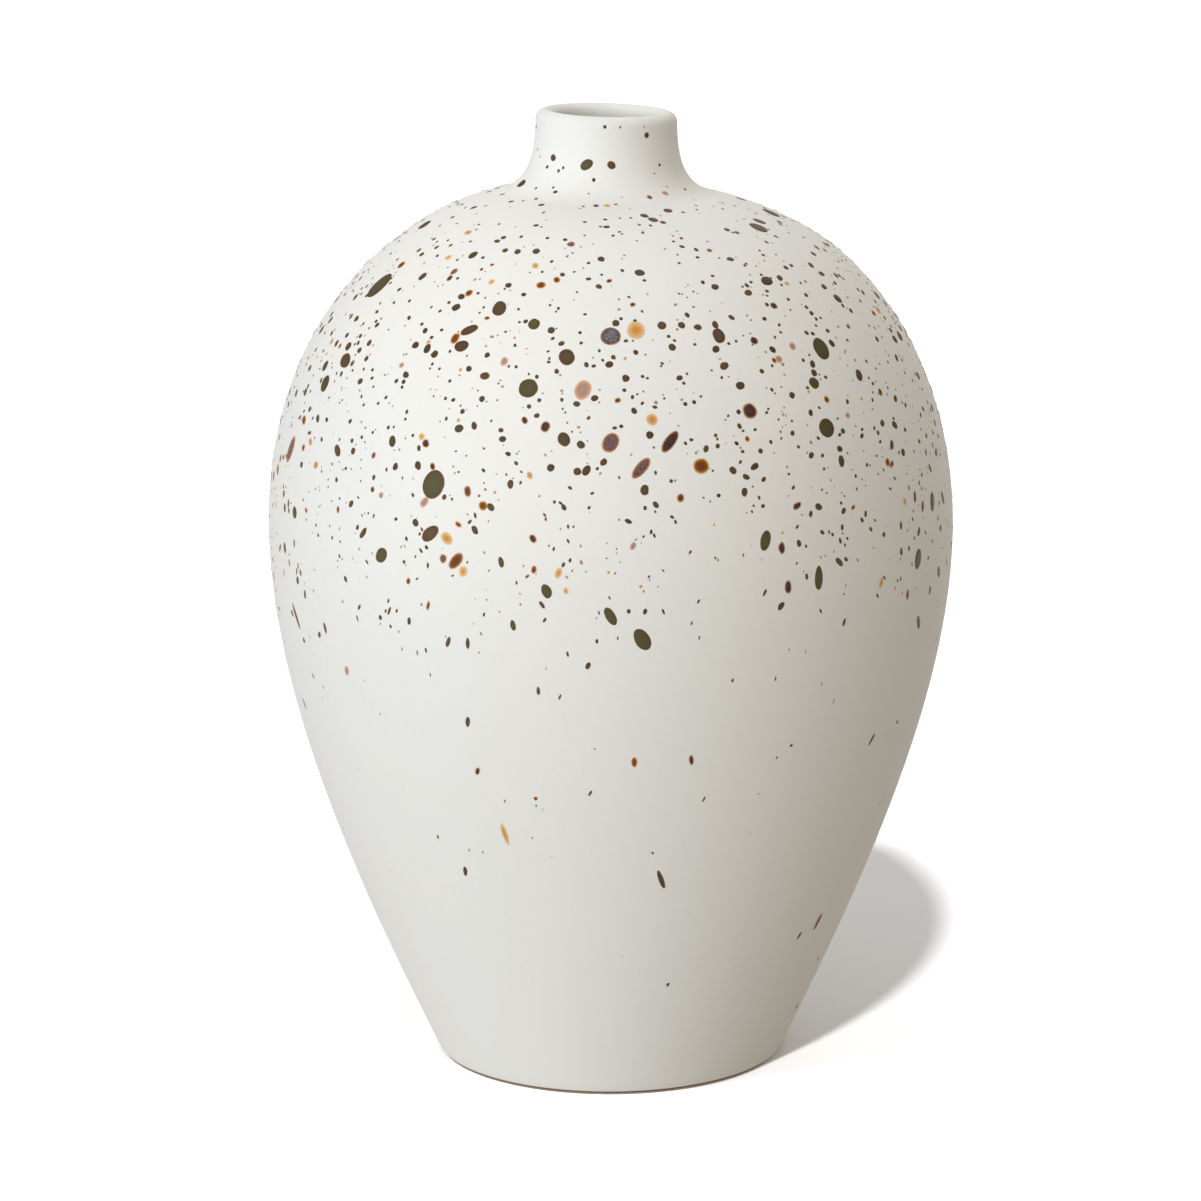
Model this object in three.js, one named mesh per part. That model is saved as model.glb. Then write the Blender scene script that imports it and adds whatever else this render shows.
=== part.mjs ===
// A ceramic bud vase: a hollow stoneware bottle with a broad shoulder and a short narrow neck.
// The clay is one fired wall on the real vase, and the photo shows no seams in it. It is parted
// here into a base, five rings of wall and a neck. A matte coat covers the outside and turns over
// the lip, and a liner glaze makes the inside hold water. The foot is left bare.
// Millimetres, +Z up, with the origin at the centre of the foot, on the surface it stands on.

import * as THREE from "three";

// Driving dimensions -------------------------------------------------------------------------

const HEIGHT = 210;

// The widest place.
const BELLY_RADIUS = 75;
const BELLY_HEIGHT = 119;

// The bottom edge of the glazed wall, and the angle at which the wall leaves it.
const FOOT_RADIUS = 38.5;
const GLAZE_LINE_HEIGHT = 1;
const FOOT_WALL_ANGLE = THREE.MathUtils.degToRad(65);

// Where the shoulder turns up into the neck, and how steeply the shoulder falls away there.
const SHOULDER_RADIUS = 24;
const SHOULDER_HEIGHT = 192;
const SHOULDER_ANGLE = THREE.MathUtils.degToRad(14);

// Outside the neck, just below the lip.
const NECK_RADIUS = 15.2;

// How far each curve of the outline runs straight on before it bends: the lengths of the
// Bezier handles.
const FOOT_REACH = 51;
const BELLY_REACH_DOWN = 32.5;
const BELLY_REACH_UP = 34;
const SHOULDER_REACH = 34;
const FLARE_REACH_OUT = 7.5;
const FLARE_REACH_UP = 8;

// The wall is this thick everywhere, coats included. The lip is a full round of the same width.
// The clay lies at the coats' depth. The coats stop a hair short of it, so no faces cross.
const WALL = 4.2;
const COAT = 0.4;
const COAT_GAP = 0.05;
const LIP_RADIUS = WALL / 2;

// Inside, the wall turns into the floor from this height, with this radius.
const FLOOR_BEND_HEIGHT = 13;
const FLOOR_BEND_RADIUS = 12;

// The clay sections meet at these heights, besides the belly and the shoulder. The heights are
// chosen for the model: shorter sections let their collision pieces leave the inside open.
const LOWER_JOINT_HEIGHT = 60;
const UPPER_JOINT_HEIGHT = 160;
const COLLAR_JOINT_HEIGHT = 176;

// Underneath, a flat ring carries the vase round a shallow recess.
const RING_OUTER_RADIUS = 37.3;
const RING_INNER_RADIUS = 31;
const RECESS_RADIUS = 29.5;
const RECESS_DEPTH = 1.5;

// The matte coat turns over the lip and ends inside the neck, this share of the way up the flare.
const LINER_TOP = 0.8;

// Faceting. The steps are those of one clay section.
const FACETS_ROUND = 40;
const STEPS_WALL = 4;
const STEPS_SHOULDER = 3;
const STEPS_FLARE = 4;
const STEPS_LIP = 3;
const STEPS_FLOOR_BEND = 4;
const STEPS_RING_EDGE = 2;

// How often the search for a height on a curve halves its range, and how near two points of an
// outline are one and the same.
const HALVINGS = 40;
const SAME_POINT = 1e-6;

// The outline of the glazed outside, from the foot to the lip ---------------------------------

const point = (radius, height) => new THREE.Vector2(radius, height);

// The point that lies a given way from another, at an angle above the horizontal.
function along(start, angle, distance) {
  return start.clone().add(point(Math.cos(angle), Math.sin(angle)).multiplyScalar(distance));
}

function outline() {
  const foot = point(FOOT_RADIUS, GLAZE_LINE_HEIGHT);
  const belly = point(BELLY_RADIUS, BELLY_HEIGHT);
  const shoulder = point(SHOULDER_RADIUS, SHOULDER_HEIGHT);
  const neckTop = point(NECK_RADIUS, HEIGHT - LIP_RADIUS);
  const inwards = Math.PI - SHOULDER_ANGLE;
  return {
    lower: new THREE.CubicBezierCurve(
      foot,
      along(foot, FOOT_WALL_ANGLE, FOOT_REACH),
      along(belly, -Math.PI / 2, BELLY_REACH_DOWN),
      belly,
    ),
    upper: new THREE.CubicBezierCurve(
      belly,
      along(belly, Math.PI / 2, BELLY_REACH_UP),
      along(shoulder, -SHOULDER_ANGLE, SHOULDER_REACH),
      shoulder,
    ),
    flare: new THREE.CubicBezierCurve(
      shoulder,
      along(shoulder, inwards, FLARE_REACH_OUT),
      along(neckTop, -Math.PI / 2, FLARE_REACH_UP),
      neckTop,
    ),
  };
}

const { lower, upper, flare } = outline();

// The unit vector from the glazed outside straight into the wall. It comes from the curve's exact
// slope, which is a quadratic Bezier of the steps between its handles, so that two curves that
// meet end on the same line at every depth.
function intoWall(curve, share) {
  const handles = [curve.v0, curve.v1, curve.v2, curve.v3];
  const steps = [0, 1, 2].map((i) => handles[i + 1].clone().sub(handles[i]));
  const up = new THREE.QuadraticBezierCurve(...steps).getPoint(share).normalize();
  return point(-up.y, up.x);
}

// Points along a stretch of the outline, at a depth below the glazed outside. Every layer of a
// stretch has its corners at the same shares of the way along, so no two layers cross.
function layer({ curve, from, to, steps }, depth) {
  const points = [];
  for (let i = 0; i <= steps; i++) {
    const share = from + ((to - from) * i) / steps;
    points.push(curve.getPoint(share).addScaledVector(intoWall(curve, share), depth));
  }
  return points;
}

// Points along an arc, from one angle to another about its centre.
function arc(centre, radius, fromAngle, toAngle, steps) {
  const points = [];
  for (let i = 0; i <= steps; i++) {
    points.push(along(centre, fromAngle + ((toAngle - fromAngle) * i) / steps, radius));
  }
  return points;
}

// The share of the way up a rising curve at which it reaches a height.
function shareAtHeight(curve, height) {
  let low = 0;
  let high = 1;
  for (let i = 0; i < HALVINGS; i++) {
    const middle = (low + high) / 2;
    if (curve.getPoint(middle).y < height) low = middle;
    else high = middle;
  }
  return (low + high) / 2;
}

// The stretches of the outline, from the foot up ----------------------------------------------

const bendShare = shareAtHeight(lower, FLOOR_BEND_HEIGHT);
const lowerJoint = shareAtHeight(lower, LOWER_JOINT_HEIGHT);
const upperJoint = shareAtHeight(upper, UPPER_JOINT_HEIGHT);
const collarJoint = shareAtHeight(upper, COLLAR_JOINT_HEIGHT);

const base = { curve: lower, from: 0, to: bendShare, steps: 1 };
const lowerWall = { curve: lower, from: bendShare, to: lowerJoint, steps: STEPS_WALL };
const belly = { curve: lower, from: lowerJoint, to: 1, steps: STEPS_WALL };
const upperWall = { curve: upper, from: 0, to: upperJoint, steps: STEPS_WALL };
const shoulder = { curve: upper, from: upperJoint, to: collarJoint, steps: STEPS_SHOULDER };
const collar = { curve: upper, from: collarJoint, to: 1, steps: STEPS_SHOULDER };
const neck = { curve: flare, from: 0, to: LINER_TOP, steps: STEPS_FLARE };
const mouth = { curve: flare, from: LINER_TOP, to: 1, steps: 1 };

// Points along several stretches in turn, going up.
function layers(stretches, depth) {
  return stretches.flatMap((stretch) => layer(stretch, depth));
}

const lipCentre = point(NECK_RADIUS - LIP_RADIUS, HEIGHT - LIP_RADIUS);

// The bend from the inner wall down to the floor: arcs about one centre, at any depth.
function floorBend(depth) {
  const inwards = intoWall(lower, bendShare);
  const centre = lower
    .getPoint(bendShare)
    .addScaledVector(inwards, WALL + FLOOR_BEND_RADIUS);
  const radius = FLOOR_BEND_RADIUS + WALL - depth;
  const wallAngle = Math.atan2(-inwards.y, -inwards.x);
  return arc(centre, radius, wallAngle, -Math.PI / 2, STEPS_FLOOR_BEND);
}

// The inner side of the vase at a depth, from the middle of the floor up to the liner's edge.
function inside(depth) {
  const bend = floorBend(depth).reverse();
  const walls = layers([lowerWall, belly, upperWall, shoulder, collar, neck], depth);
  return [point(0, bend[0].y), ...bend, ...walls];
}

// The lip's full round, or the half of it that an angle range covers, at a depth.
function lip(depth, fromAngle, toAngle) {
  return arc(lipCentre, LIP_RADIUS - depth, fromAngle, toAngle, STEPS_LIP);
}

// A solid of revolution from an outline in the XZ plane, without the repeated points.
function turned(name, points, material) {
  const profile = points.filter((p, i) => i === 0 || p.distanceTo(points[i - 1]) > SAME_POINT);
  const mesh = new THREE.Mesh(new THREE.LatheGeometry(profile, FACETS_ROUND), material);
  mesh.geometry.rotateX(Math.PI / 2);
  mesh.name = name;
  return mesh;
}

// Materials -----------------------------------------------------------------------------------

const clay = new THREE.MeshStandardMaterial({ color: 0xd8c6ae, roughness: 0.95, metalness: 0 });
const matteWhite = new THREE.MeshStandardMaterial({ color: 0xebe9e3, roughness: 0.8, metalness: 0 });
const clearLiner = new THREE.MeshStandardMaterial({ color: 0xefece4, roughness: 0.25, metalness: 0 });

// Pieces --------------------------------------------------------------------------------------

// The clay base: recess, bare foot ring, floor, and the bend that rises to the wall.
function clayBase() {
  const outside = layer(base, COAT);
  const glazeLine = outside[0];
  const ringEdge = new THREE.QuadraticBezierCurve(
    point(RING_OUTER_RADIUS, 0),
    point(glazeLine.x, 0),
    glazeLine,
  );
  const bend = floorBend(WALL - COAT);
  return turned(
    "clay_base",
    [
      point(0, RECESS_DEPTH),
      point(RECESS_RADIUS, RECESS_DEPTH),
      point(RING_INNER_RADIUS, 0),
      ...ringEdge.getPoints(STEPS_RING_EDGE),
      ...outside,
      ...bend,
      point(0, bend.at(-1).y),
    ],
    clay,
  );
}

// A ring of the clay wall, along one stretch of the outline.
function clayRing(name, stretch) {
  const outside = layer(stretch, COAT);
  return turned(name, [...outside, ...layer(stretch, WALL - COAT).reverse(), outside[0]], clay);
}

// The clay neck: the flare that sits on the shoulder, and the lip.
function clayNeck() {
  const outside = layers([neck, mouth], COAT);
  return turned(
    "clay_neck",
    [
      ...outside,
      ...lip(COAT, 0, Math.PI / 2),
      ...lip(COAT, Math.PI / 2, Math.PI),
      ...layers([neck, mouth], WALL - COAT).reverse(),
      outside[0],
    ],
    clay,
  );
}

// The matte coat: all of the outside above the foot, the lip, and the top of the mouth.
function matteCoat() {
  const back = COAT - COAT_GAP;
  const stretches = [base, lowerWall, belly, upperWall, shoulder, collar, neck, mouth];
  const outside = layers(stretches, 0);
  return turned(
    "matte_coat",
    [
      ...outside,
      ...lip(0, 0, Math.PI / 2),
      ...lip(0, Math.PI / 2, Math.PI),
      ...layer(mouth, WALL).reverse(),
      ...layer(mouth, WALL - back),
      ...lip(back, Math.PI, Math.PI / 2),
      ...lip(back, Math.PI / 2, 0),
      ...layers(stretches, back).reverse(),
      outside[0],
    ],
    matteWhite,
  );
}

// The liner glaze: a skin over all of the inside below the matte coat.
function linerGlaze() {
  const back = inside(WALL - COAT + COAT_GAP);
  return turned("liner_glaze", [...back, ...inside(WALL).reverse()], clearLiner);
}

const vase = new THREE.Group();
vase.add(
  clayBase(),
  clayRing("clay_lower_wall", lowerWall),
  clayRing("clay_belly", belly),
  clayRing("clay_upper_wall", upperWall),
  clayRing("clay_shoulder", shoulder),
  clayRing("clay_collar", collar),
  clayNeck(),
  matteCoat(),
  linerGlaze(),
);

export default vase;
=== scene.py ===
"""A ceramic bud vase: a matte off-white stoneware bottle, spattered with drops of darker glaze.

The clay sections, the matte coat and the liner glaze are smooth skins on one outline. Every drop of
the spatter is a thin dome of glaze that lies on the coat and follows its curve.
Metres, +Z up, in the frame of the CAD model. Lengths written in millimetres are scaled by MM.
"""

import bisect
import math
import random

import bpy
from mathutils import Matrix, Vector


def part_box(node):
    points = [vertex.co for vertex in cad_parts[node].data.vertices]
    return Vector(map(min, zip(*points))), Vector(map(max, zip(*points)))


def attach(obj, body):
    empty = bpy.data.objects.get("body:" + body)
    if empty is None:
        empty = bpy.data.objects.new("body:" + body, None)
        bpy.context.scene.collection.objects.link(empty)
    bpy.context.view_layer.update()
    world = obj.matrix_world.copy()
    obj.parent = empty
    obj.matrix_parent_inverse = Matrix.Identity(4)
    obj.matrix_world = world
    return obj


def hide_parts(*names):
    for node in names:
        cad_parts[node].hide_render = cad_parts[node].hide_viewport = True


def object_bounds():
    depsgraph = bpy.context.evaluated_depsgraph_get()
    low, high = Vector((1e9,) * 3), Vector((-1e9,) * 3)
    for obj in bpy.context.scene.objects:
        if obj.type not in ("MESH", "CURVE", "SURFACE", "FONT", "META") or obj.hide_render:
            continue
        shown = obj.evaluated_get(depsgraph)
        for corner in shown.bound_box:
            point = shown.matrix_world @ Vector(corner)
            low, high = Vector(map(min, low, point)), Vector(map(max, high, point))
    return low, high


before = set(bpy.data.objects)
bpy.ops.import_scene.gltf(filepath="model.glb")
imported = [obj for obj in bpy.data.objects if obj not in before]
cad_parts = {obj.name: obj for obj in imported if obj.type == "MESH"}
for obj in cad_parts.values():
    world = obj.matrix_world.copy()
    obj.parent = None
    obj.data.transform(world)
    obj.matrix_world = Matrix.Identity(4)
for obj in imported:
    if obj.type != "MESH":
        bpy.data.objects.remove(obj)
cad_low, cad_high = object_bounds()

MM = 0.001
CM2 = 1e-4

# Driving dimensions --------------------------------------------------------------------------

# From the frame.
HEIGHT = cad_high.z
BELLY_RADIUS = cad_high.x
BELLY_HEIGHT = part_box("clay_belly")[1].z
GLAZE_LINE_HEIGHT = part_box("matte_coat")[0].z

# The rest of the outline, as in the CAD model.
FOOT_RADIUS = 38.5 * MM
FOOT_WALL_ANGLE = math.radians(65)
SHOULDER_RADIUS = 24 * MM
SHOULDER_HEIGHT = 192 * MM
SHOULDER_ANGLE = math.radians(14)
NECK_RADIUS = 15.2 * MM
FOOT_REACH = 51 * MM
BELLY_REACH_DOWN = 32.5 * MM
BELLY_REACH_UP = 34 * MM
SHOULDER_REACH = 34 * MM
FLARE_REACH_OUT = 7.5 * MM
FLARE_REACH_UP = 8 * MM

# The wall and its coats.
WALL = 4.2 * MM
COAT = 0.4 * MM
COAT_GAP = 0.05 * MM
LIP_RADIUS = WALL / 2

# The liner ends at this share of the way up the neck's curve.
LINER_TOP = 0.8

# The floor and the foot.
FLOOR_BEND_HEIGHT = 13 * MM
FLOOR_BEND_RADIUS = 12 * MM
RING_OUTER_RADIUS = 37.3 * MM
RING_INNER_RADIUS = 31 * MM
RING_EDGE_RADIUS = 0.3 * MM
RECESS_RADIUS = 29.5 * MM
RECESS_DEPTH = 1.5 * MM

# The heights at which the model parts the clay, besides the belly and the shoulder.
LOWER_JOINT_HEIGHT = 60 * MM
UPPER_JOINT_HEIGHT = 160 * MM
COLLAR_JOINT_HEIGHT = 176 * MM

# The small faults of hand work. The neck sits off the axis of the body and its rim leans. The
# wall wanders in and out a little.
NECK_OFFSET = 1.0 * MM
RIM_LEAN = 0.027
OFFSET_FROM = 178 * MM
OFFSET_TO = 200 * MM
WALL_WANDER = 0.12 * MM

# How finely the skins are divided.
FACETS_SHOWN = 256
FACETS_HIDDEN = 96
STEPS_SHOWN = 34
STEPS_SHOULDER = 22
STEPS_NECK = 26
STEPS_LIP = 12
STEPS_BEND = 10
STEPS_FOOT_EDGE = 6
STEPS_RING_EDGE = 3
COARSER = 3
SHARP_EDGE = math.radians(40)

# A height on a curve is found by halving this often. Points closer than this are one point.
HALVINGS = 40
SAME_POINT = 1e-7


# The outline ---------------------------------------------------------------------------------

def flat(radius, height):
    return Vector((radius, height))


def along(start, angle, distance):
    """The point that lies a given way from another, at an angle above the horizontal."""
    return start + distance * flat(math.cos(angle), math.sin(angle))


def outline():
    """The lower, upper and neck curves of the glazed outside, each as four Bezier handles."""
    foot = flat(FOOT_RADIUS, GLAZE_LINE_HEIGHT)
    belly = flat(BELLY_RADIUS, BELLY_HEIGHT)
    shoulder = flat(SHOULDER_RADIUS, SHOULDER_HEIGHT)
    neck_top = flat(NECK_RADIUS, HEIGHT - LIP_RADIUS)
    up = math.pi / 2
    lower = (foot, along(foot, FOOT_WALL_ANGLE, FOOT_REACH), along(belly, -up, BELLY_REACH_DOWN), belly)
    upper = (
        belly,
        along(belly, up, BELLY_REACH_UP),
        along(shoulder, -SHOULDER_ANGLE, SHOULDER_REACH),
        shoulder,
    )
    flare = (
        shoulder,
        along(shoulder, math.pi - SHOULDER_ANGLE, FLARE_REACH_OUT),
        along(neck_top, -up, FLARE_REACH_UP),
        neck_top,
    )
    return lower, upper, flare


def curve_point(curve, share):
    a, b, c, d = curve
    rest = 1 - share
    return rest**3 * a + 3 * rest**2 * share * b + 3 * rest * share**2 * c + share**3 * d


def into_wall(curve, share):
    """The unit vector from the glazed outside straight into the wall."""
    a, b, c, d = curve
    rest = 1 - share
    rise = rest**2 * (b - a) + 2 * rest * share * (c - b) + share**2 * (d - c)
    rise.normalize()
    return flat(-rise.y, rise.x)


def layer(stretch, depth):
    """Points up a stretch of the outline, at a depth below the glazed outside."""
    curve, start, end, steps = stretch
    shares = [start + (end - start) * i / steps for i in range(steps + 1)]
    return [curve_point(curve, s) + depth * into_wall(curve, s) for s in shares]


def layers(stretches, depth):
    return [p for stretch in stretches for p in layer(stretch, depth)]


def arc(centre, radius, start, end, steps):
    return [along(centre, start + (end - start) * i / steps, radius) for i in range(steps + 1)]


def share_at_height(curve, height):
    """The share of the way up a rising curve at which it reaches a height."""
    low, high = 0.0, 1.0
    for _ in range(HALVINGS):
        middle = (low + high) / 2
        if curve_point(curve, middle).y < height:
            low = middle
        else:
            high = middle
    return low


LOWER, UPPER, FLARE = outline()
BEND_SHARE = share_at_height(LOWER, FLOOR_BEND_HEIGHT)
LOWER_JOINT = share_at_height(LOWER, LOWER_JOINT_HEIGHT)
UPPER_JOINT = share_at_height(UPPER, UPPER_JOINT_HEIGHT)
COLLAR_JOINT = share_at_height(UPPER, COLLAR_JOINT_HEIGHT)

BASE = (LOWER, 0, BEND_SHARE, STEPS_BEND)
LOWER_WALL = (LOWER, BEND_SHARE, LOWER_JOINT, STEPS_SHOWN)
BELLY = (LOWER, LOWER_JOINT, 1, STEPS_SHOWN)
UPPER_WALL = (UPPER, 0, UPPER_JOINT, STEPS_SHOWN)
SHOULDER = (UPPER, UPPER_JOINT, COLLAR_JOINT, STEPS_SHOULDER)
COLLAR = (UPPER, COLLAR_JOINT, 1, STEPS_SHOULDER)
NECK = (FLARE, 0, LINER_TOP, STEPS_NECK)
MOUTH = (FLARE, LINER_TOP, 1, STEPS_BEND)
ALL_STRETCHES = [BASE, LOWER_WALL, BELLY, UPPER_WALL, SHOULDER, COLLAR, NECK, MOUTH]


def floor_bend(depth):
    """The bend from the inner wall down to the floor."""
    inwards = into_wall(LOWER, BEND_SHARE)
    centre = curve_point(LOWER, BEND_SHARE) + (WALL + FLOOR_BEND_RADIUS) * inwards
    wall_angle = math.atan2(-inwards.y, -inwards.x)
    return arc(centre, FLOOR_BEND_RADIUS + WALL - depth, wall_angle, -math.pi / 2, STEPS_BEND)


def inside(depth):
    """The inner side of the vase at a depth, from the middle of the floor up to the liner's edge."""
    bend = floor_bend(depth)[::-1]
    walls = layers([LOWER_WALL, BELLY, UPPER_WALL, SHOULDER, COLLAR, NECK], depth)
    return [flat(0, bend[0].y), *bend, *walls]


def lip(depth, start, end):
    centre = flat(NECK_RADIUS - LIP_RADIUS, HEIGHT - LIP_RADIUS)
    return arc(centre, LIP_RADIUS - depth, start, end, STEPS_LIP)


# Skins ---------------------------------------------------------------------------------------

def smoothstep(low, high, value):
    share = min(max((value - low) / (high - low), 0), 1)
    return share * share * (3 - 2 * share)


def handmade(point):
    """Moves a point of the true shape to where hand work leaves it. The wall's wander is two slow
    waves round the vase, which turn with height."""
    x, y, z = point
    turn = math.atan2(y, x)
    wander = WALL_WANDER * (math.sin(2 * turn + 40 * z) + 0.6 * math.sin(3 * turn - 55 * z + 1))
    radius = math.hypot(x, y)
    swell = 1 + wander * smoothstep(0, NECK_RADIUS, radius) / max(radius, MM)
    raised = smoothstep(OFFSET_FROM, OFFSET_TO, z)
    lowered = RIM_LEAN * (x + NECK_RADIUS)
    return Vector((x * swell - NECK_OFFSET * raised, y * swell, z - lowered * raised))


# What the lights that are meant for the vase alone fall on.
VASE = bpy.data.collections.new("vase")


def piece(name, vertices, faces, material):
    """A smooth mesh object that rides on the vase."""
    mesh = bpy.data.meshes.new(name)
    mesh.from_pydata(vertices, [], faces)
    mesh.shade_smooth()
    mesh.set_sharp_from_angle(angle=SHARP_EDGE)
    mesh.materials.append(material)
    made = bpy.data.objects.new(name, mesh)
    bpy.context.scene.collection.objects.link(made)
    VASE.objects.link(made)
    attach(made, "root")
    return made


def turned(name, points, facets, material):
    """A skin turned from an outline that ends on the axis or closes on itself."""
    profile = [p for i, p in enumerate(points) if i == 0 or (p - points[i - 1]).length > SAME_POINT]
    vertices, rows = [], []
    for p in profile:
        if p.x < SAME_POINT:
            rows.append([len(vertices)] * facets)
            vertices.append(handmade((0, 0, p.y)))
            continue
        if (p - profile[0]).length < SAME_POINT and rows:
            rows.append(rows[0])
            continue
        rows.append(range(len(vertices), len(vertices) + facets))
        turns = [math.tau * j / facets for j in range(facets)]
        vertices += [handmade((p.x * math.cos(t), p.x * math.sin(t), p.y)) for t in turns]
    faces = []
    for low, high in zip(rows, rows[1:]):
        for j in range(facets):
            k = (j + 1) % facets
            corners = (low[j], low[k], high[k], high[j])
            faces.append(tuple(dict.fromkeys(corners)))
    return piece(name, vertices, faces, material)


# The outside as a track for the drops --------------------------------------------------------

OUTSIDE = layers(ALL_STRETCHES, 0) + lip(0, 0, math.pi)
TRACK = [p for i, p in enumerate(OUTSIDE) if i == 0 or (p - OUTSIDE[i - 1]).length > SAME_POINT]
WAY_UP = [0.0]
for before, after in zip(TRACK, TRACK[1:]):
    WAY_UP.append(WAY_UP[-1] + (after - before).length)
RISES = [(b - a).normalized() for a, b in zip(TRACK, TRACK[1:])]
CORNER_RISES = [RISES[0], *[(a + b).normalized() for a, b in zip(RISES, RISES[1:])], RISES[-1]]
HEIGHTS = [p.y for p in TRACK[: len(TRACK) - STEPS_LIP // 2]]


def on_track(way):
    """(radius, height) and the rise of the outline, at a way up it from the foot."""
    i = min(max(bisect.bisect(WAY_UP, way) - 1, 0), len(TRACK) - 2)
    share = (way - WAY_UP[i]) / (WAY_UP[i + 1] - WAY_UP[i])
    return TRACK[i].lerp(TRACK[i + 1], share), CORNER_RISES[i].lerp(CORNER_RISES[i + 1], share)


def way_to_height(height):
    i = min(max(bisect.bisect(HEIGHTS, height), 1), len(HEIGHTS) - 1)
    share = (height - HEIGHTS[i - 1]) / (HEIGHTS[i] - HEIGHTS[i - 1])
    return WAY_UP[i - 1] + share * (WAY_UP[i] - WAY_UP[i - 1])


def on_coat(azimuth, way, lift):
    """A point above the coat. Azimuth 0 faces the camera, and it grows towards +X."""
    at, rise = on_track(way)
    radius = at.x + lift * rise.y
    height = at.y - lift * rise.x
    return handmade((radius * math.sin(azimuth), -radius * math.cos(azimuth), height))


# Materials -----------------------------------------------------------------------------------

class Nodes:
    """A material's node tree, with one call for each kind of node that this vase needs."""

    def __init__(self, name, roughness, specular=0.5):
        self.material = bpy.data.materials.new(name)
        self.material.use_nodes = True
        self.tree = self.material.node_tree
        self.shader = self.tree.nodes["Principled BSDF"]
        self.shader.inputs["Roughness"].default_value = roughness
        self.shader.inputs["Specular IOR Level"].default_value = specular
        self.place = self.add("ShaderNodeTexCoord").outputs["Object"]

    def add(self, kind, inputs=(), **settings):
        node = self.tree.nodes.new(kind)
        for key, value in settings.items():
            setattr(node, key, value)
        for key, value in dict(inputs).items():
            self.give(node.inputs[key], value)
        return node

    def give(self, socket, value):
        if isinstance(value, bpy.types.NodeSocket):
            self.tree.links.new(value, socket)
        else:
            socket.default_value = value

    def noise(self, size, detail=2.0, offset=(0, 0, 0)):
        """Noise whose lumps are about this size across, in metres."""
        moved = self.add("ShaderNodeVectorMath", {0: self.place, 1: offset}, operation="ADD")
        inputs = {"Vector": moved.outputs[0], "Scale": 1 / size, "Detail": detail}
        return self.add("ShaderNodeTexNoise", inputs).outputs["Fac"]

    def stretch(self, value, low, high, to_low=0.0, to_high=1.0):
        inputs = {0: value, 1: low, 2: high, 3: to_low, 4: to_high}
        return self.add("ShaderNodeMapRange", inputs).outputs[0]

    def maths(self, operation, a, b):
        return self.add("ShaderNodeMath", {0: a, 1: b}, operation=operation).outputs[0]

    def times(self, a, b):
        return self.maths("MULTIPLY", a, b)

    def mix(self, share, a, b):
        """A colour between two. Inputs 6 and 7 and output 2 of the node are its colours."""
        node = self.add("ShaderNodeMix", data_type="RGBA")
        self.give(node.inputs[0], share)
        self.give(node.inputs[6], a)
        self.give(node.inputs[7], b)
        return node.outputs[2]

    def ramp(self, value, stops):
        node = self.add("ShaderNodeValToRGB", {0: value})
        elements = node.color_ramp.elements
        elements.remove(elements[1])
        for i, (position, colour) in enumerate(stops):
            element = elements[0] if i == 0 else elements.new(position)
            element.position = position
            element.color = (*colour, 1)
        return node.outputs[0]

    def bump(self, height, distance, strength=1.0):
        inputs = {"Height": height, "Distance": distance, "Strength": strength}
        node = self.add("ShaderNodeBump", inputs)
        self.give(self.shader.inputs["Normal"], node.outputs[0])

    def colour(self, value):
        self.give(self.shader.inputs["Base Color"], value)


def rgb(red, green, blue):
    return (red, green, blue, 1)


def coat_colour(nodes):
    """The off-white of the matte coat, warmer where it lies thin and greyer where it lies thick."""
    broad = nodes.stretch(nodes.noise(38 * MM), 0.35, 0.65)
    fine = nodes.stretch(nodes.noise(1.1 * MM, offset=(3, 0, 0)), 0.3, 0.7)
    shade = nodes.mix(broad, rgb(0.808, 0.797, 0.755), rgb(0.795, 0.79, 0.762))
    shade = nodes.mix(nodes.times(fine, 0.35), shade, rgb(0.835, 0.827, 0.795))
    return nodes.mix(nodes.times(pinholes(nodes), 0.6), shade, rgb(0.92, 0.92, 0.9))


def pinholes(nodes):
    """Where the coat has crawled back to tiny pale pits: 1 in a pit, and 0 between them."""
    return nodes.stretch(nodes.noise(0.6 * MM, 1.0, (0, 9, 0)), 0.79, 0.81)


def matte_coat_material():
    nodes = Nodes("matte_coat_glaze", 0.72, 0.35)
    nodes.colour(coat_colour(nodes))
    grain = nodes.noise(0.55 * MM, 3.0)
    pitted = nodes.maths("SUBTRACT", grain, pinholes(nodes))
    nodes.bump(pitted, 0.03 * MM, 0.6)
    return nodes.material


def liner_material():
    nodes = Nodes("liner_glaze_gloss", 0.16)
    broad = nodes.stretch(nodes.noise(14 * MM), 0.3, 0.7)
    nodes.colour(nodes.mix(broad, rgb(0.8, 0.775, 0.7), rgb(0.76, 0.745, 0.69)))
    nodes.bump(nodes.noise(6 * MM), 0.1 * MM, 0.4)
    return nodes.material


def clay_material():
    """Bare fired stoneware: sandy, with fine iron specks, and painted dark just below the coat's edge as
    painted shade for the shadow line there.
    """
    nodes = Nodes("bare_stoneware", 0.92, 0.25)
    sand = nodes.stretch(nodes.noise(1.4 * MM, 4.0), 0.3, 0.7)
    body = nodes.mix(sand, rgb(0.56, 0.41, 0.29), rgb(0.68, 0.53, 0.4))
    iron = nodes.stretch(nodes.noise(0.7 * MM, 1.0, (0, 5, 0)), 0.68, 0.74)
    speckled = nodes.mix(iron, body, rgb(0.2, 0.12, 0.07))
    height = nodes.add("ShaderNodeSeparateXYZ", {0: nodes.place}).outputs[2]
    # Painted shade: the clay darkens from 0.1 mm up and is dark brown from 0.7 mm to the coat's edge,
    # standing in for the shadow line under the coat.
    painted_shade_band = nodes.stretch(height, 0.1 * MM, 0.7 * MM)
    nodes.colour(nodes.mix(painted_shade_band, speckled, rgb(0.1, 0.062, 0.04)))
    nodes.bump(nodes.noise(0.5 * MM, 4.0), 0.12 * MM, 0.7)
    return nodes.material


COAT_MATERIAL = matte_coat_material()
LINER_MATERIAL = liner_material()
CLAY_MATERIAL = clay_material()


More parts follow.
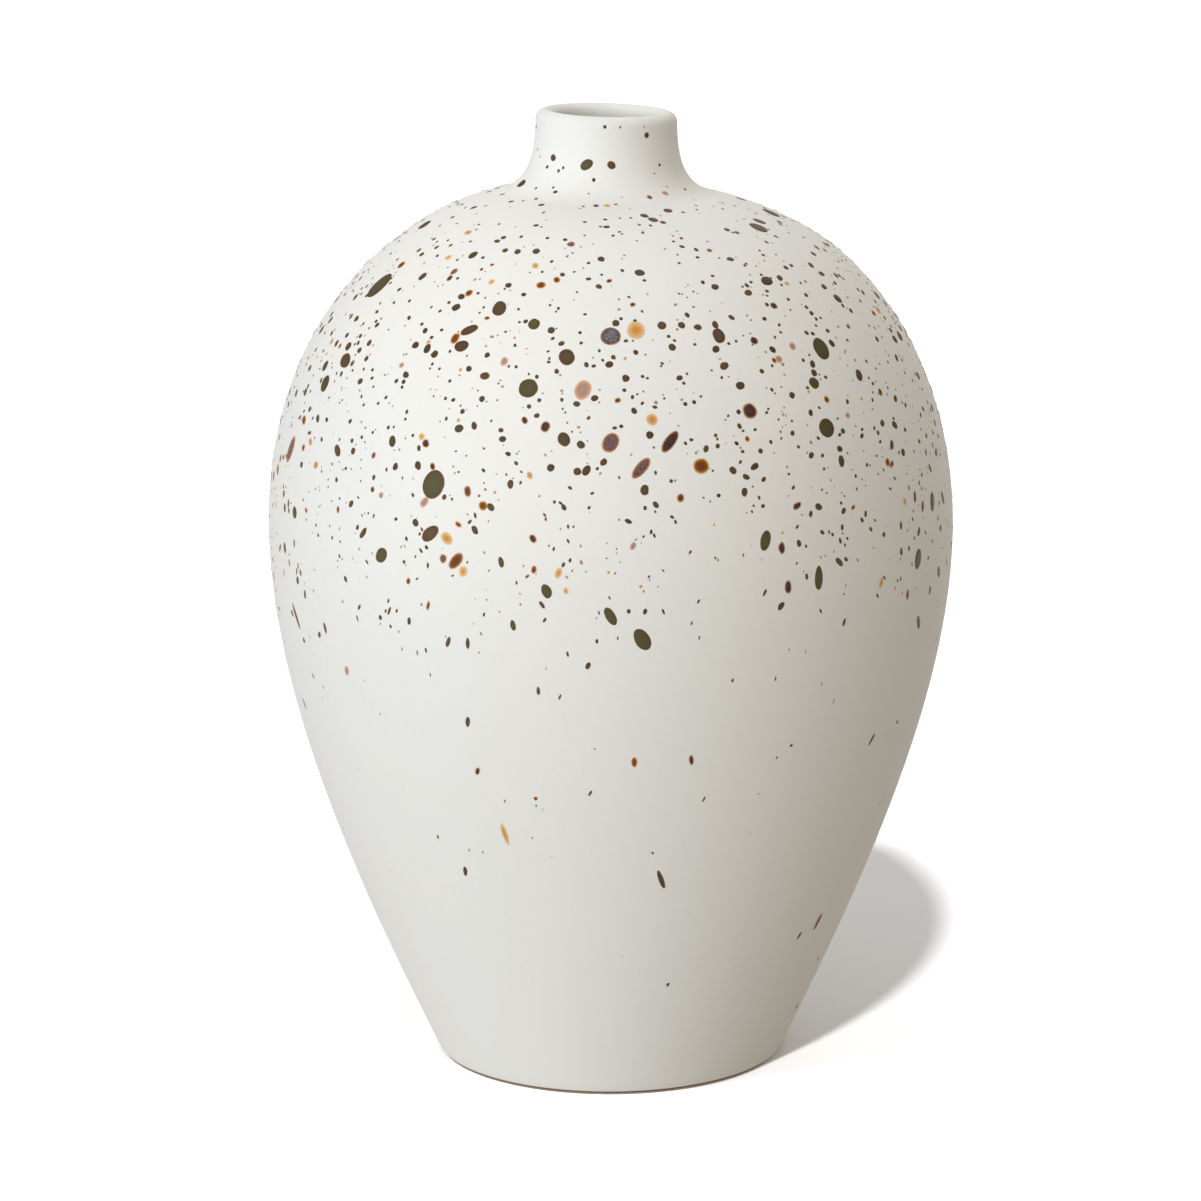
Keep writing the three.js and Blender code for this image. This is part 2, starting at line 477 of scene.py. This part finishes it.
# Glaze colours, from the middle of a drop out. A drop's rim value is 0 in the middle and 1 at its
# edge, and goes on to 2 where its halo has faded into the coat.
RIM_SCALE = 2.0
DROP_SPECULAR = 0.12


def drop_material(name, stops, deep, roughness, mottle=None):
    """A glaze whose colour runs from the middle of a drop to its edge, and on into its halo."""
    nodes = Nodes(name, roughness, DROP_SPECULAR)
    said = nodes.add("ShaderNodeVertexColor", layer_name="drop").outputs["Color"]
    parts = nodes.add("ShaderNodeSeparateColor", {0: said})
    rim, tone = parts.outputs[0], parts.outputs[1]
    ragged = nodes.stretch(nodes.noise(0.35 * MM), 0.3, 0.7, -0.05, 0.05)
    place = nodes.maths("ADD", rim, ragged)
    colour = nodes.ramp(place, [(at / RIM_SCALE, shade) for at, shade in stops])
    colour = nodes.mix(nodes.times(tone, 0.5), colour, rgb(*deep))
    if mottle:
        cloud = nodes.stretch(nodes.noise(0.3 * MM, 3.0, (7, 0, 0)), 0.42, 0.6)
        middle = nodes.stretch(rim, 0.3, 0.48, 0.9, 0.0)
        colour = nodes.mix(nodes.times(cloud, middle), colour, rgb(*mottle))
    fade = nodes.stretch(rim, 0.5, 0.96)
    nodes.colour(nodes.mix(fade, colour, coat_colour(nodes)))
    nodes.bump(nodes.noise(0.4 * MM), 0.02 * MM, 0.5)
    return nodes.material


def speck_material(name, colour, roughness):
    """Glaze of drops too small to show more than one colour."""
    nodes = Nodes(name, roughness, DROP_SPECULAR)
    nodes.colour(rgb(*colour))
    nodes.bump(nodes.noise(0.2 * MM), 0.02 * MM, 0.5)
    return nodes.material


class Kind:
    """One colour of glaze: how thick its drops lie, how far its halo spreads, and its material."""

    def __init__(self, slot, thickness, halo, material):
        self.slot, self.thickness, self.halo, self.material = slot, thickness, halo, material
        self.vertices, self.faces, self.colours = [], [], []


KINDS = {
    "olive": Kind("olive_spatter", 0.09 * MM, 0.1 * MM, drop_material(
        "olive_glaze",
        [(0, (0.102, 0.09, 0.038)), (0.75, (0.09, 0.076, 0.032)), (0.97, (0.11, 0.06, 0.022)),
         (1.1, (0.42, 0.27, 0.15))],
        (0.066, 0.05, 0.024), 0.45,
    )),
    "umber": Kind("umber_spatter", 0.1 * MM, 0.12 * MM, drop_material(
        "umber_glaze",
        [(0, (0.12, 0.08, 0.04)), (0.8, (0.1, 0.062, 0.03)), (0.97, (0.14, 0.056, 0.018)),
         (1.1, (0.5, 0.27, 0.12))],
        (0.05, 0.032, 0.02), 0.45,
    )),
    "rust": Kind("rust_spatter", 0.07 * MM, 0.32 * MM, drop_material(
        "rust_glaze",
        [(0, (0.14, 0.05, 0.014)), (0.6, (0.19, 0.064, 0.01)), (0.85, (0.42, 0.14, 0.014)),
         (1.0, (0.68, 0.33, 0.09)), (1.25, (0.78, 0.55, 0.3))],
        (0.09, 0.032, 0.022), 0.5,
    )),
    "mauve": Kind("mauve_spatter", 0.06 * MM, 0.3 * MM, drop_material(
        "mauve_glaze",
        [(0, (0.14, 0.066, 0.062)), (0.65, (0.15, 0.055, 0.038)), (0.88, (0.36, 0.12, 0.03)),
         (1.0, (0.66, 0.34, 0.14))],
        (0.07, 0.035, 0.03), 0.5, mottle=(0.2, 0.15, 0.16),
    )),
    "maroon": Kind("mauve_spatter", 0.08 * MM, 0.3 * MM, drop_material(
        "maroon_glaze",
        [(0, (0.05, 0.023, 0.02)), (0.7, (0.055, 0.022, 0.016)), (0.9, (0.26, 0.08, 0.02)),
         (1.0, (0.62, 0.3, 0.1))],
        (0.03, 0.015, 0.014), 0.5, mottle=(0.09, 0.055, 0.055),
    )),
    "slate": Kind("mauve_spatter", 0.06 * MM, 0.22 * MM, drop_material(
        "slate_glaze",
        [(0, (0.11, 0.095, 0.11)), (0.75, (0.1, 0.065, 0.065)), (0.93, (0.2, 0.08, 0.035)),
         (1.0, (0.6, 0.36, 0.2))],
        (0.07, 0.055, 0.06), 0.5, mottle=(0.24, 0.22, 0.25),
    )),
    "salmon": Kind("mauve_spatter", 0.04 * MM, 0.35 * MM, drop_material(
        "salmon_glaze",
        [(0, (0.46, 0.27, 0.21)), (0.6, (0.5, 0.23, 0.13)), (1.0, (0.72, 0.42, 0.24))],
        (0.36, 0.16, 0.11), 0.55, mottle=(0.33, 0.28, 0.28),
    )),
    "amber": Kind("rust_spatter", 0.05 * MM, 0.34 * MM, drop_material(
        "amber_glaze",
        [(0, (0.6, 0.25, 0.045)), (0.5, (0.7, 0.36, 0.09)), (1.0, (0.78, 0.56, 0.33))],
        (0.45, 0.12, 0.015), 0.5,
    )),
    "dark_specks": Kind("umber_spatter", 0.06 * MM, 0, speck_material(
        "dark_speck_glaze", (0.13, 0.085, 0.052), 0.45)),
    "olive_specks": Kind("olive_spatter", 0.06 * MM, 0, speck_material(
        "olive_speck_glaze", (0.14, 0.115, 0.06), 0.45)),
    "grey_specks": Kind("umber_spatter", 0.04 * MM, 0, speck_material(
        "grey_speck_glaze", (0.34, 0.31, 0.27), 0.5)),
    "amber_specks": Kind("rust_spatter", 0.05 * MM, 0, speck_material(
        "amber_speck_glaze", (0.62, 0.31, 0.09), 0.5)),
}

# Where the rings of a drop lie, as shares of its radius, and how high, as shares of its thickness.
DROP_RINGS = [(0.4, 0.98), (0.66, 0.92), (0.84, 0.75), (0.94, 0.5)]
SPECK_RINGS = [(0.6, 0.85)]

# The edge of a drop without a halo: how high it stands, as a share of the drop's thickness, and how
# far out and how deep in the coat its last ring lies.
EDGE_SHARE = 0.2
SUNK_BEYOND = 0.03 * MM
SUNK = 0.05 * MM

# The rings of a halo, as shares of its reach, and how high each lies above the coat.
HALO_RINGS = [(0.35, 0.016 * MM), (0.7, 0.01 * MM), (1.0, -0.012 * MM)]
HALO_START = 0.022 * MM

# Drops narrower than this have fewer rings and no halo. A drop has as many sides as its width asks for.
SMALL_DROP = 0.9 * MM
SIDES_BELOW = [(0.5 * MM, 9), (SMALL_DROP, 14), (2 * MM, 20)]
SIDES_OF_LARGEST = 36

# Wider drops lie thicker, in shares of their kind's thickness.
THICKNESS_LEAST = 0.55
THICKNESS_EACH_MM = 0.3
THICKNESS_MOST = 1.3

# How far the edge of a drop strays from an oval, as a share of its radius, up to this size. Larger
# drops pull themselves rounder.
WOBBLE = 0.14
WOBBLE_SIZE = 1.6 * MM


def wobble(draw, size):
    """How far a drop's edge strays from a plain oval, as a function of the angle round it."""
    most = WOBBLE * min(1, WOBBLE_SIZE / size)
    waves = [(k, draw.uniform(0, most / k), draw.uniform(0, math.tau)) for k in (2, 3, 4, 5)]
    return lambda angle: 1 + sum(a * math.sin(k * angle + p) for k, a, p in waves)


def sides_of_drop(size):
    return next((sides for width, sides in SIDES_BELOW if size < width), SIDES_OF_LARGEST)


def add_drop(kind, draw, azimuth, way, width, length, lean):
    """One drop of glaze. Its long side leans this far from upright, towards +azimuth."""
    size = math.sqrt(width * length)
    small = size < SMALL_DROP
    segments = sides_of_drop(size)
    edge = wobble(draw, size)
    tone = draw.random()
    thickness = kind.thickness * min(THICKNESS_MOST, THICKNESS_LEAST + THICKNESS_EACH_MM * size / MM)
    inner_rings = SPECK_RINGS if small else DROP_RINGS
    rings = [(share, share, 0.0, lift * thickness) for share, lift in inner_rings]
    if kind.halo and not small:
        rings.append((1.0, 1.0, 0.0, HALO_START))
        rings += [(1.0, 1 + share, share * kind.halo, lift) for share, lift in HALO_RINGS]
    else:
        rings.append((1.0, 1.0, 0.0, EDGE_SHARE * thickness))
        rings.append((1.0, 1.0, SUNK_BEYOND, -SUNK))
    first = len(kind.vertices)
    radius_here = on_track(way)[0].x
    kind.vertices.append(on_coat(azimuth, way, thickness))
    kind.colours.append((0, tone, 0, 1))
    for share, rim, beyond, lift in rings:
        for j in range(segments):
            angle = math.tau * j / segments
            reach = share * edge(angle)
            across = (reach * width / 2 + beyond) * math.cos(angle)
            upwards = (reach * length / 2 + beyond) * math.sin(angle)
            sideways = across * math.cos(lean) + upwards * math.sin(lean)
            rise = upwards * math.cos(lean) - across * math.sin(lean)
            kind.vertices.append(on_coat(azimuth + sideways / radius_here, way + rise, lift))
            kind.colours.append((rim / RIM_SCALE, tone, 0, 1))
    for j in range(segments):
        k = (j + 1) % segments
        kind.faces.append((first, first + 1 + j, first + 1 + k))
        for ring in range(len(rings) - 1):
            low = first + 1 + ring * segments
            high = low + segments
            kind.faces.append((low + j, high + j, high + k, low + k))


# The drops -----------------------------------------------------------------------------------

# A few drops that catch the eye on the front, placed to the nearest 5 degrees round from the
# middle of the front and 5 mm of height. Then width and length in millimetres, and lean in degrees.
LAID = {
    "olive": [
        (-30, 140, 5, 6, 20), (-65, 175, 5, 7, 20), (45, 165, 4, 5, 0), (40, 150, 4, 4, 0),
        (-15, 160, 4, 4, 0), (5, 110, 3, 5, -30), (0, 115, 2, 4, -30), (35, 120, 2, 5, 0),
        (-10, 120, 2, 3, -20), (-15, 200, 2, 3, 60),
    ],
    "umber": [(-30, 170, 2, 4, 60), (10, 55, 1, 5, -20), (-65, 105, 1, 6, -30)],
    "rust": [(15, 145, 3, 3, 0), (-25, 125, 2, 4, 40)],
    "mauve": [(0, 150, 3, 4, 30), (5, 145, 2, 5, 40), (-70, 140, 3, 6, 20)],
    "maroon": [(10, 150, 2, 5, 40), (25, 155, 3, 3, 0)],
    "slate": [(0, 170, 4, 4, 0)],
    "salmon": [(-5, 160, 3, 4, 20)],
    "amber": [(-20, 65, 1, 5, -10)],
}

# The rest falls at random: how many drops there are on a square centimetre where they fall
# thickest. Most are about as wide as MIDDLE_SIZE. A small share of them are large, and they are rarer
# the larger they are.
SEED = 71
DROPS_ON_CM2 = 11
MIDDLE_SIZE = 0.62 * MM
SIZE_SPREAD = 0.5
LEAST_SIZE = 0.25 * MM
LARGE_SHARE = 0.09
LARGE_SIZE = 1.5 * MM
LARGE_FALL = 2.3
MOST_SIZE = 4.4 * MM

# Below this height the spatter thins out over a short way. On the neck it is thinner too.
THIN_BELOW = 120 * MM
THIN_OVER = 8.5 * MM
SPARSE_SHARE = 0.06
NECK_THIN_FROM = 176 * MM
NECK_THIN_TO = 197 * MM
NECK_SHARE = 0.33
SPATTER_TOP = 209 * MM

# Round the vase, the line where it thins rises and falls in two waves.
BROAD_WAVE = 6 * MM
NARROW_WAVE = 4 * MM
BROAD_WAVE_TURN = 0.6

# Drops begin to run below the first height, and run most from the second down. A run drop is longer
# and more upright.
RUN_FROM = 165 * MM
RUN_FULL = 95 * MM
STRETCH_PLAIN = 0.35
STRETCH_RUN = 1.1
STRETCH_LONG_RUN = 2.2
LEAN_PLAIN = 90
LEAN_LOST = 62

# The scatter climbs in bands this high. A new drop keeps this share of its width from the others.
BAND = 1 * MM
KEPT_CLEAR = 0.55

# Drops narrower than this have one flat colour. How often each kind falls, of a hundred.
SMALLEST_SHADED = 0.65 * MM
SPECK_SHARES = {"dark_specks": 50, "olive_specks": 14, "grey_specks": 24, "amber_specks": 12}
DROP_SHARES = {"umber": 52, "olive": 24, "rust": 9, "amber": 7, "mauve": 2, "maroon": 3, "salmon": 3}


def spatter_share(azimuth, height):
    """How thickly the spatter falls at a place, as a share of the most."""
    broad = BROAD_WAVE * math.sin(2 * azimuth + BROAD_WAVE_TURN)
    edge = THIN_BELOW + broad + NARROW_WAVE * math.sin(5 * azimuth)
    thick = 1 / (1 + math.exp((edge - height) / THIN_OVER))
    sparse = SPARSE_SHARE * smoothstep(0, BELLY_HEIGHT, height)
    neck = 1 - (1 - NECK_SHARE) * smoothstep(NECK_THIN_FROM, NECK_THIN_TO, height)
    return max(thick, sparse) * neck


def random_size(draw):
    if draw.random() < LARGE_SHARE:
        return min(LARGE_SIZE * (1 - draw.random()) ** (-1 / LARGE_FALL), MOST_SIZE)
    return min(max(MIDDLE_SIZE * math.exp(SIZE_SPREAD * draw.gauss(0, 1)), LEAST_SIZE), LARGE_SIZE)


def random_kind(draw, size):
    shares = SPECK_SHARES if size < SMALLEST_SHADED else DROP_SHARES
    return draw.choices(list(shares), list(shares.values()))[0]


def random_shape(draw, size, height):
    """Width, length and lean. Drops that run down the lower wall are long and upright."""
    run = smoothstep(RUN_FROM, RUN_FULL, height)
    stretch = 1 + draw.random() * (STRETCH_PLAIN + STRETCH_RUN * run)
    stretch += STRETCH_LONG_RUN * run**2 * draw.random() ** 2
    lean = draw.uniform(-1, 1) * math.radians(LEAN_PLAIN - LEAN_LOST * run)
    return size / math.sqrt(stretch), size * math.sqrt(stretch), lean


class Neighbours:
    """The drops laid so far, kept by place, so that a new one can find those it would touch."""

    CELL = 6 * MM

    def __init__(self):
        self.cells = {}

    def cell(self, point):
        return tuple(math.floor(c / self.CELL) for c in point)

    def add(self, point, radius):
        self.cells.setdefault(self.cell(point), []).append((point, radius))

    def touches(self, point, radius):
        i, j, k = self.cell(point)
        near = [(i + a, j + b, k + c) for a in (-1, 0, 1) for b in (-1, 0, 1) for c in (-1, 0, 1)]
        return any(
            (point - other).length < radius + reach
            for cell in near
            for other, reach in self.cells.get(cell, ())
        )


def lay_drop(name, draw, neighbours, azimuth, way, shape):
    width, length, lean = shape
    neighbours.add(on_coat(azimuth, way, 0), math.sqrt(width * length) / 2)
    add_drop(KINDS[name], draw, azimuth, way, width, length, lean)


def lay_by_hand(draw, neighbours):
    for name, drops in LAID.items():
        for azimuth, height, width, length, lean in drops:
            shape = (width * MM, length * MM, math.radians(lean))
            lay_drop(name, draw, neighbours, math.radians(azimuth), way_to_height(height * MM), shape)


def scatter(draw, neighbours):
    """Random drops, band by band up the outside."""
    top = way_to_height(SPATTER_TOP)
    owed = 0.0
    for step in range(int(top / BAND)):
        radius = on_track((step + 0.5) * BAND)[0].x
        owed += math.tau * radius * BAND * DROPS_ON_CM2 / CM2
        while owed >= 1:
            owed -= 1
            azimuth = draw.uniform(-math.pi, math.pi)
            way = (step + draw.random()) * BAND
            size = random_size(draw)
            height = on_track(way)[0].y
            kept = draw.random() < spatter_share(azimuth, height)
            if not kept or neighbours.touches(on_coat(azimuth, way, 0), KEPT_CLEAR * size):
                continue
            name = random_kind(draw, size)
            lay_drop(name, draw, neighbours, azimuth, way, random_shape(draw, size, height))


def spatter():
    draw = random.Random(SEED)
    neighbours = Neighbours()
    lay_by_hand(draw, neighbours)
    scatter(draw, neighbours)
    for name, kind in KINDS.items():
        made = piece(f"spatter_{name}", kind.vertices, kind.faces, kind.material)
        colours = made.data.color_attributes.new("drop", "FLOAT_COLOR", "POINT")
        colours.data.foreach_set("color", [c for colour in kind.colours for c in colour])


# Pieces --------------------------------------------------------------------------------------

def coarse(stretch):
    """The same stretch with fewer steps, for a side that is hidden against the next layer."""
    curve, start, end, steps = stretch
    return curve, start, end, steps // COARSER


def glaze_line_edge(outer, back):
    """The rounded lower edge of the coat, from its back round to its outside."""
    middle = (outer + back) / 2
    radius = (outer - back).length / 2
    start = math.atan2(back.y - middle.y, back.x - middle.x)
    return arc(middle, radius, start, start + math.pi, STEPS_FOOT_EDGE)


def fired_base():
    outside = layer(BASE, COAT)
    edge, glaze_line = flat(RING_OUTER_RADIUS, 0), outside[0]
    corner = flat(glaze_line.x, 0)
    shares = [i / STEPS_FOOT_EDGE for i in range(STEPS_FOOT_EDGE + 1)]
    ring_edge = [(1 - s) ** 2 * edge + 2 * (1 - s) * s * corner + s * s * glaze_line for s in shares]
    inner_middle = flat(RING_INNER_RADIUS, RING_EDGE_RADIUS)
    inner_edge = arc(inner_middle, RING_EDGE_RADIUS, math.radians(225), math.radians(270), STEPS_RING_EDGE)
    bend = floor_bend(WALL - COAT)
    points = [
        flat(0, RECESS_DEPTH),
        flat(RECESS_RADIUS, RECESS_DEPTH),
        *inner_edge,
        *ring_edge,
        *outside,
        *bend,
        flat(0, bend[-1].y),
    ]
    made = turned("fired_base", points, FACETS_SHOWN, CLAY_MATERIAL)
    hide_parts("clay_base")


def fired_ring(name, node, stretch):
    outside = layer(stretch, COAT)
    points = [*outside, *layer(stretch, WALL - COAT)[::-1], outside[0]]
    made = turned(name, points, FACETS_HIDDEN, CLAY_MATERIAL)
    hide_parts(node)


def fired_neck():
    outside = layers([NECK, MOUTH], COAT)
    points = [
        *outside,
        *lip(COAT, 0, math.pi),
        *layers([NECK, MOUTH], WALL - COAT)[::-1],
        outside[0],
    ]
    made = turned("fired_neck", points, FACETS_HIDDEN, CLAY_MATERIAL)
    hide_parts("clay_neck")


def matte_coat():
    back = COAT - COAT_GAP
    outside = layers(ALL_STRETCHES, 0)
    behind = layers([coarse(stretch) for stretch in ALL_STRETCHES], back)
    points = [
        *outside,
        *lip(0, 0, math.pi),
        *layer(MOUTH, WALL)[::-1],
        *layer(MOUTH, WALL - back),
        *lip(back, math.pi, 0),
        *behind[::-1],
        *glaze_line_edge(outside[0], behind[0]),
    ]
    made = turned("matte_glaze", points, FACETS_SHOWN, COAT_MATERIAL)
    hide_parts("matte_coat")


def liner():
    points = [*inside(WALL - COAT + COAT_GAP), *inside(WALL)[::-1]]
    made = turned("liner", points, FACETS_SHOWN, LINER_MATERIAL)
    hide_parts("liner_glaze")


fired_base()
fired_ring("fired_lower_wall", "clay_lower_wall", LOWER_WALL)
fired_ring("fired_belly", "clay_belly", BELLY)
fired_ring("fired_upper_wall", "clay_upper_wall", UPPER_WALL)
fired_ring("fired_shoulder", "clay_shoulder", SHOULDER)
fired_ring("fired_collar", "clay_collar", COLLAR)
fired_neck()
matte_coat()
liner()
spatter()


# Floor, light and camera ---------------------------------------------------------------------

FLOOR_HALF = 12.0
SUN_DISTANCE = 2.0
FLOOR = bpy.data.collections.new("floor")


def floor():
    nodes = Nodes("pale_floor", 0.9, 0.2)
    tone = nodes.stretch(nodes.noise(0.3), 0.3, 0.7)
    nodes.colour(nodes.mix(tone, rgb(0.89, 0.885, 0.88), rgb(0.9, 0.897, 0.892)))
    half = FLOOR_HALF
    corners = [(-half, -half, 0), (half, -half, 0), (half, half, 0), (-half, half, 0)]
    mesh = bpy.data.meshes.new("floor")
    mesh.from_pydata(corners, [], [(0, 1, 2, 3)])
    mesh.materials.append(nodes.material)
    made = bpy.data.objects.new("floor", mesh)
    made.visible_diffuse = False
    bpy.context.scene.collection.objects.link(made)
    FLOOR.objects.link(made)


def sun(name, azimuth, elevation, spread, strength, colour, falls_on):
    """A wide distant light. Azimuth 0 comes from the camera's side, and it grows towards +X."""
    light = bpy.data.lights.new(name, "SUN")
    light.energy = strength
    light.angle = math.radians(spread)
    light.color = colour
    turn, tilt = math.radians(azimuth), math.radians(elevation)
    sideways, forwards = math.sin(turn) * math.cos(tilt), -math.cos(turn) * math.cos(tilt)
    made = bpy.data.objects.new(name, light)
    made.location = SUN_DISTANCE * Vector((sideways, forwards, math.sin(tilt)))
    made.rotation_euler = made.location.to_track_quat("Z", "Y").to_euler()
    made.light_linking.receiver_collection = falls_on
    bpy.context.scene.collection.objects.link(made)


def lights():
    """Large soft lights on the vase. On the floor, a wash and two lights whose shadows cross behind
    the vase on the right, so that only there is the floor darker."""
    sun("key", -33, 0, 60, 3.1, (0.93, 0.968, 0.985), VASE)
    sun("side", -60, 0, 60, 0.69, (0.55, 0.7, 1), VASE)
    sun("top", -20, 75, 60, 0.85, (0.95, 0.95, 1), VASE)
    sun("back", 165, 45, 60, 0.95, (0.865, 0.935, 1), VASE)
    sun("floor_wash", 0, 90, 150, 1.18, (0.72, 0.78, 0.9), FLOOR)
    sun("floor_front", -4, 49, 3, 2.7, (1, 1, 1), FLOOR)
    sun("floor_left", -42, 44, 10, 2.9, (1, 1, 1), FLOOR)


def surroundings(colour, strength):
    world = bpy.data.worlds.new("studio")
    world.use_nodes = True
    background = world.node_tree.nodes["Background"]
    background.inputs["Color"].default_value = (*colour, 1)
    background.inputs["Strength"].default_value = strength
    bpy.context.scene.world = world


CAMERA_DISTANCE = 1.0353
CAMERA_ELEVATION = math.radians(12.5)
CAMERA_AIM = Vector((-2.2 * MM, 0, 101.4 * MM))
CAMERA_LENS = 141.1
SENSOR_WIDTH = 36


def camera():
    data = bpy.data.cameras.new("camera")
    data.lens = CAMERA_LENS
    data.sensor_width = SENSOR_WIDTH
    made = bpy.data.objects.new("camera", data)
    back = Vector((0, -math.cos(CAMERA_ELEVATION), math.sin(CAMERA_ELEVATION)))
    made.location = Vector((0, 0, HEIGHT / 2)) + CAMERA_DISTANCE * back
    made.rotation_euler = (CAMERA_AIM - made.location).to_track_quat("-Z", "Y").to_euler()
    bpy.context.scene.collection.objects.link(made)
    bpy.context.scene.camera = made


floor()
lights()
surroundings((1, 0.9, 0.746), 0.365)
camera()
bpy.context.scene.view_settings.view_transform = "Standard"
